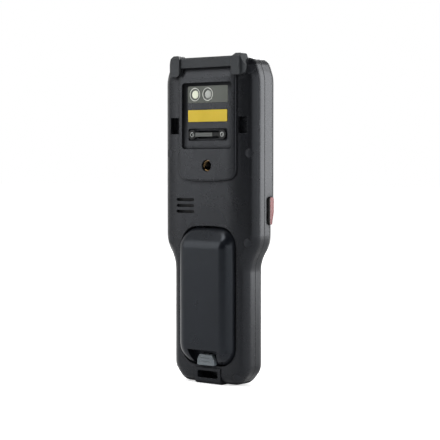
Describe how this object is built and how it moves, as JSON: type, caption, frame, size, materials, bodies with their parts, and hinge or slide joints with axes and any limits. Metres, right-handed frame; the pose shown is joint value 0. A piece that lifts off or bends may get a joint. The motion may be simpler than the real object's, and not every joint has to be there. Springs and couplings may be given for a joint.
{
  "type": "portable barcode data terminal",
  "caption": "Handheld data terminal with a scanning end, a display and keypad in front, side triggers and a hooked, latched battery pack in its grip.",
  "frame": {"origin": "middle of the foot's footprint, at the level the terminal stands on", "axes": "+Z along the terminal from its foot to the scanning end, +Y out of its back, display and keypad facing -Y, +X to the right of a person who looks at the display"},
  "size_m": [0.0694, 0.0278, 0.1898],
  "materials": {
    "case_plastic": "fine texture",
    "bumper_rubber": "soft matt",
    "black_rubber": "matt",
    "scan_glass": "polished, red tinted",
    "engine_plastic": "matt",
    "grey_plate": "satin",
    "camera_plastic": "satin",
    "flash_plastic": "satin",
    "yellow_label": "printed film, bare",
    "bar_plastic": "matt",
    "dark_steel": "plain",
    "brass": "machined",
    "mesh_fabric": "woven",
    "window_glass": "polished",
    "display_dark": "polished",
    "mat_rubber": "matt",
    "board_green": "solder mask",
    "plug_rubber": "matt",
    "contact_gold": "plated",
    "battery_plastic": "fine texture",
    "cell_foil": "foil",
    "grey_latch": "satin",
    "trigger_red": "matt",
    "key_rubber": "matt",
    "key_scan_red": "matt"
  },
  "bodies": {
    "terminal": {"rear_case": "case_plastic", "battery_bay": "case_plastic", "front_case": "case_plastic", "case_gasket": "black_rubber", "scan_bezel": "bumper_rubber", "scan_window": "scan_glass", "scan_engine": "engine_plastic", "camera_window": "grey_plate", "camera_module": "camera_plastic", "flash_module": "flash_plastic", "label_plate": "yellow_label", "strap_bar": "bar_plastic", "strap_bar_screws": "dark_steel", "handle_insert": "brass", "speaker_mesh": "mesh_fabric", "speaker": "engine_plastic", "receiver": "engine_plastic", "vibration_motor": "dark_steel", "display_window": "window_glass", "display_panel": "display_dark", "keypad_mat": "mat_rubber", "keypad_board": "board_green", "main_board": "board_green", "trigger_switches": "engine_plastic", "case_screws": "dark_steel", "screw_plugs": "plug_rubber", "bay_contacts": "contact_gold", "battery_seal": "black_rubber", "strap_anchor": "case_plastic", "cradle_connector": "engine_plastic"},
    "battery_pack": {"battery_cover": "battery_plastic", "battery_tray": "battery_plastic", "battery_cells": "cell_foil", "battery_terminals": "contact_gold", "latch_spring": "dark_steel"},
    "latch": {"battery_latch": "grey_latch"},
    "trigger_right": {"trigger_right": "trigger_red"},
    "trigger_left": {"trigger_left": "trigger_red"},
    "key_1": {"key_1": "key_rubber"},
    "key_2": {"key_2": "key_rubber"},
    "key_3": {"key_3": "key_rubber"},
    "key_4": {"key_4": "key_rubber"},
    "key_5": {"key_5": "key_rubber"},
    "key_6": {"key_6": "key_rubber"},
    "key_7": {"key_7": "key_rubber"},
    "key_8": {"key_8": "key_rubber"},
    "key_9": {"key_9": "key_rubber"},
    "key_clear": {"key_clear": "key_rubber"},
    "key_0": {"key_0": "key_rubber"},
    "key_enter": {"key_enter": "key_rubber"},
    "key_scan": {"key_scan": "key_scan_red"},
    "key_left": {"key_left": "key_rubber"},
    "key_right": {"key_right": "key_rubber"},
    "key_up": {"key_up": "key_rubber"},
    "key_down": {"key_down": "key_rubber"},
    "key_soft_left": {"key_soft_left": "key_rubber"},
    "key_soft_right": {"key_soft_right": "key_rubber"},
    "key_power": {"key_power": "key_rubber"},
    "key_function": {"key_function": "key_rubber"}
  },
  "joints": [
    {"name": "battery_hinge", "type": "hinge", "parent": "terminal", "child": "battery_pack", "pos_m": [0, 0.007, 0.088], "axis": [1, 0, 0], "range_deg": [0, 60]},
    {"name": "latch_slide", "type": "slide", "parent": "battery_pack", "child": "latch", "axis": [0, 0, 1], "range_m": [0, 0.0025], "stiffness_N_per_m": 600, "springref_m": -0.002, "deforming": ["latch_spring"]},
    {"name": "trigger_right_press", "type": "slide", "parent": "terminal", "child": "trigger_right", "axis": [-1, 0, 0], "range_m": [0, 0.0008], "stiffness_N_per_m": 2000, "springref_m": -0.0002},
    {"name": "trigger_left_press", "type": "slide", "parent": "terminal", "child": "trigger_left", "axis": [1, 0, 0], "range_m": [0, 0.0008], "stiffness_N_per_m": 2000, "springref_m": -0.0002},
    {"name": "key_1_press", "type": "slide", "parent": "terminal", "child": "key_1", "axis": [0, 1, 0], "range_m": [0, 0.0007], "stiffness_N_per_m": 1500, "springref_m": -0.0002},
    {"name": "key_2_press", "type": "slide", "parent": "terminal", "child": "key_2", "axis": [0, 1, 0], "range_m": [0, 0.0007], "stiffness_N_per_m": 1500, "springref_m": -0.0002},
    {"name": "key_3_press", "type": "slide", "parent": "terminal", "child": "key_3", "axis": [0, 1, 0], "range_m": [0, 0.0007], "stiffness_N_per_m": 1500, "springref_m": -0.0002},
    {"name": "key_4_press", "type": "slide", "parent": "terminal", "child": "key_4", "axis": [0, 1, 0], "range_m": [0, 0.0007], "stiffness_N_per_m": 1500, "springref_m": -0.0002},
    {"name": "key_5_press", "type": "slide", "parent": "terminal", "child": "key_5", "axis": [0, 1, 0], "range_m": [0, 0.0007], "stiffness_N_per_m": 1500, "springref_m": -0.0002},
    {"name": "key_6_press", "type": "slide", "parent": "terminal", "child": "key_6", "axis": [0, 1, 0], "range_m": [0, 0.0007], "stiffness_N_per_m": 1500, "springref_m": -0.0002},
    {"name": "key_7_press", "type": "slide", "parent": "terminal", "child": "key_7", "axis": [0, 1, 0], "range_m": [0, 0.0007], "stiffness_N_per_m": 1500, "springref_m": -0.0002},
    {"name": "key_8_press", "type": "slide", "parent": "terminal", "child": "key_8", "axis": [0, 1, 0], "range_m": [0, 0.0007], "stiffness_N_per_m": 1500, "springref_m": -0.0002},
    {"name": "key_9_press", "type": "slide", "parent": "terminal", "child": "key_9", "axis": [0, 1, 0], "range_m": [0, 0.0007], "stiffness_N_per_m": 1500, "springref_m": -0.0002},
    {"name": "key_clear_press", "type": "slide", "parent": "terminal", "child": "key_clear", "axis": [0, 1, 0], "range_m": [0, 0.0007], "stiffness_N_per_m": 1500, "springref_m": -0.0002},
    {"name": "key_0_press", "type": "slide", "parent": "terminal", "child": "key_0", "axis": [0, 1, 0], "range_m": [0, 0.0007], "stiffness_N_per_m": 1500, "springref_m": -0.0002},
    {"name": "key_enter_press", "type": "slide", "parent": "terminal", "child": "key_enter", "axis": [0, 1, 0], "range_m": [0, 0.0007], "stiffness_N_per_m": 1500, "springref_m": -0.0002},
    {"name": "key_scan_press", "type": "slide", "parent": "terminal", "child": "key_scan", "axis": [0, 1, 0], "range_m": [0, 0.0007], "stiffness_N_per_m": 1500, "springref_m": -0.0002},
    {"name": "key_left_press", "type": "slide", "parent": "terminal", "child": "key_left", "axis": [0, 1, 0], "range_m": [0, 0.0007], "stiffness_N_per_m": 1500, "springref_m": -0.0002},
    {"name": "key_right_press", "type": "slide", "parent": "terminal", "child": "key_right", "axis": [0, 1, 0], "range_m": [0, 0.0007], "stiffness_N_per_m": 1500, "springref_m": -0.0002},
    {"name": "key_up_press", "type": "slide", "parent": "terminal", "child": "key_up", "axis": [0, 1, 0], "range_m": [0, 0.0007], "stiffness_N_per_m": 1500, "springref_m": -0.0002},
    {"name": "key_down_press", "type": "slide", "parent": "terminal", "child": "key_down", "axis": [0, 1, 0], "range_m": [0, 0.0007], "stiffness_N_per_m": 1500, "springref_m": -0.0002},
    {"name": "key_soft_left_press", "type": "slide", "parent": "terminal", "child": "key_soft_left", "axis": [0, 1, 0], "range_m": [0, 0.0007], "stiffness_N_per_m": 1500, "springref_m": -0.0002},
    {"name": "key_soft_right_press", "type": "slide", "parent": "terminal", "child": "key_soft_right", "axis": [0, 1, 0], "range_m": [0, 0.0007], "stiffness_N_per_m": 1500, "springref_m": -0.0002},
    {"name": "key_power_press", "type": "slide", "parent": "terminal", "child": "key_power", "axis": [0, 1, 0], "range_m": [0, 0.0007], "stiffness_N_per_m": 1500, "springref_m": -0.0002},
    {"name": "key_function_press", "type": "slide", "parent": "terminal", "child": "key_function", "axis": [0, 1, 0], "range_m": [0, 0.0007], "stiffness_N_per_m": 1500, "springref_m": -0.0002}
  ]
}
